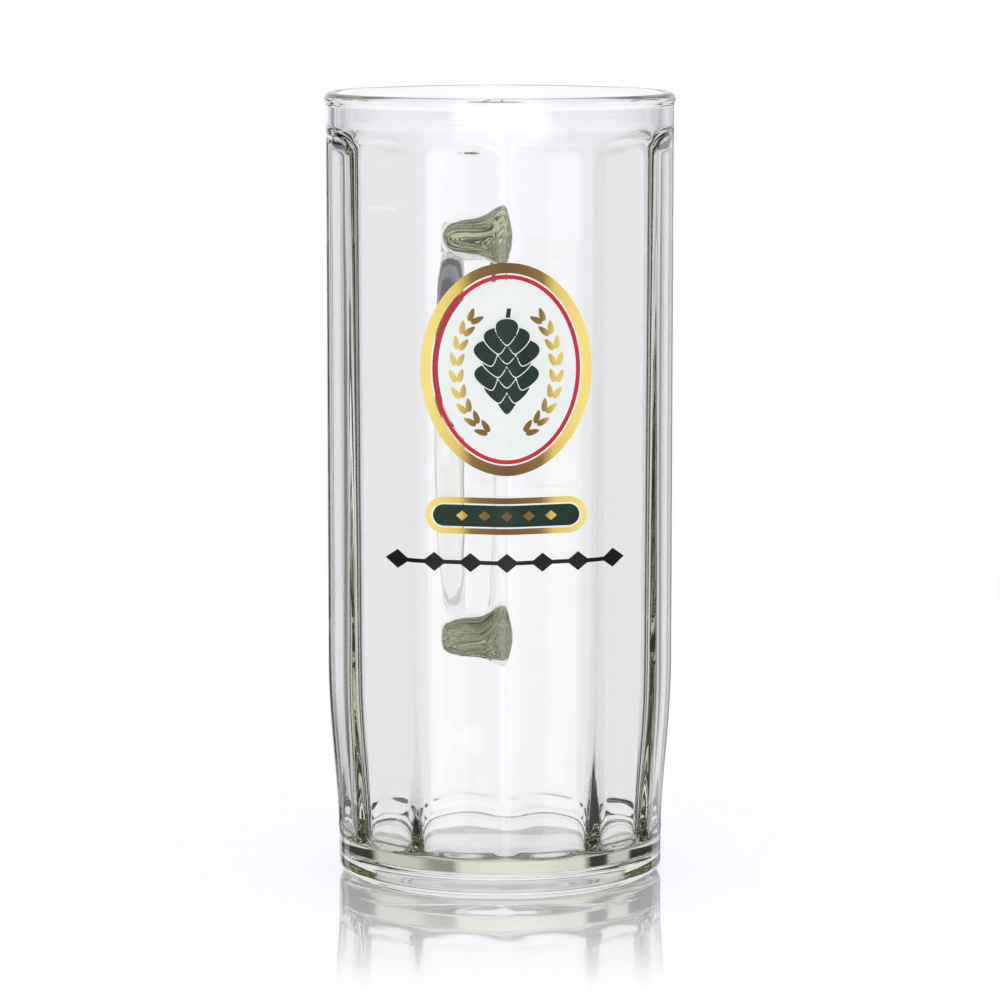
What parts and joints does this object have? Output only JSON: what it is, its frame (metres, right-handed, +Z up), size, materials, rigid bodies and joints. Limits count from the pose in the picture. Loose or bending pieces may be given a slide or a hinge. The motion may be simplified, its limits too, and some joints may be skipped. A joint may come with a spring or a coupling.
{
  "type": "glass beer mug",
  "caption": "Tall panelled glass beer mug with an arched shoulder, a round rim and foot, an applied ear handle and a fired enamel print on the front.",
  "frame": {"origin": "Middle of the bounding box in X and Y, on the plane that the bearing ring stands on. The mug's own axis is 20.59 mm towards -Y.", "axes": "+Z up along the mug's axis, +Y towards the handle, -Y towards the print, +X to the right when facing the print."},
  "size_m": [0.0778, 0.1194, 0.175],
  "materials": {
    "clear_glass": "fire-polished",
    "gold_enamel": "bright fired gold",
    "red_enamel": "gloss fired enamel",
    "white_enamel": "gloss fired enamel",
    "green_enamel": "gloss fired enamel",
    "black_enamel": "gloss fired enamel"
  },
  "bodies": {
    "root": {"glass_body": "clear_glass", "handle": "clear_glass", "medallion_gold_ring": "gold_enamel", "medallion_red_ring": "red_enamel", "medallion_white_field": "white_enamel", "medallion_hop_cone": "green_enamel", "band_gold_frame": "gold_enamel", "band_green_panel": "green_enamel", "lozenge_rule": "black_enamel", "fill_line": "white_enamel"}
  },
  "joints": []
}
